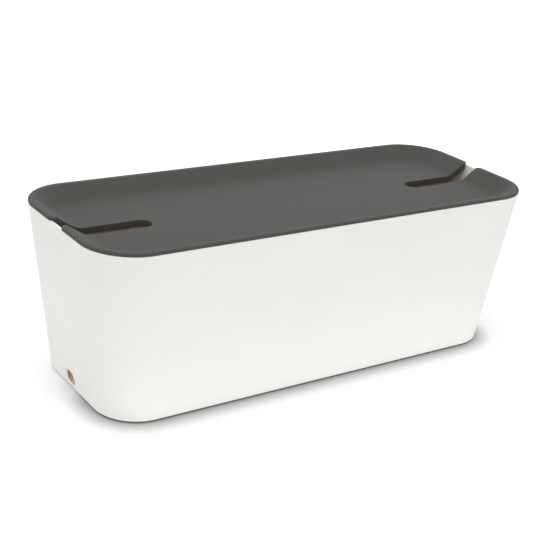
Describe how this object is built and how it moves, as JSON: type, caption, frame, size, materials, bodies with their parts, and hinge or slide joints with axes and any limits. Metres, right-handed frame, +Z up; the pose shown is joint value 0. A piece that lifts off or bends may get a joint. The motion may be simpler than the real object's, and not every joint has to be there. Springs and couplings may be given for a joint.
{
  "type": "cable management box",
  "caption": "Tapered moulded box that hides a power strip, with a lift-off tray lid slotted at both ends for cables and an oval hole low in each end wall.",
  "frame": {"origin": "on the surface that the feet stand on, under the middle of the box", "axes": "+Z up, +X along the long side to the right-hand end, +Y from the front long side to the rear"},
  "size_m": [0.406, 0.158, 0.1395],
  "materials": {
    "box_plastic": "fine satin moulded plastic",
    "lid_plastic": "soft-touch matt",
    "foot_rubber": "matt"
  },
  "bodies": {
    "box": {"box": "box_plastic", "foot_front_left": "foot_rubber", "foot_front_right": "foot_rubber", "foot_rear_left": "foot_rubber", "foot_rear_right": "foot_rubber"},
    "lid": {"lid": "lid_plastic"}
  },
  "joints": [
    {"name": "lid_lift", "type": "slide", "parent": "box", "child": "lid", "axis": [0, 0, 1], "range_m": [0, 0.12]}
  ]
}
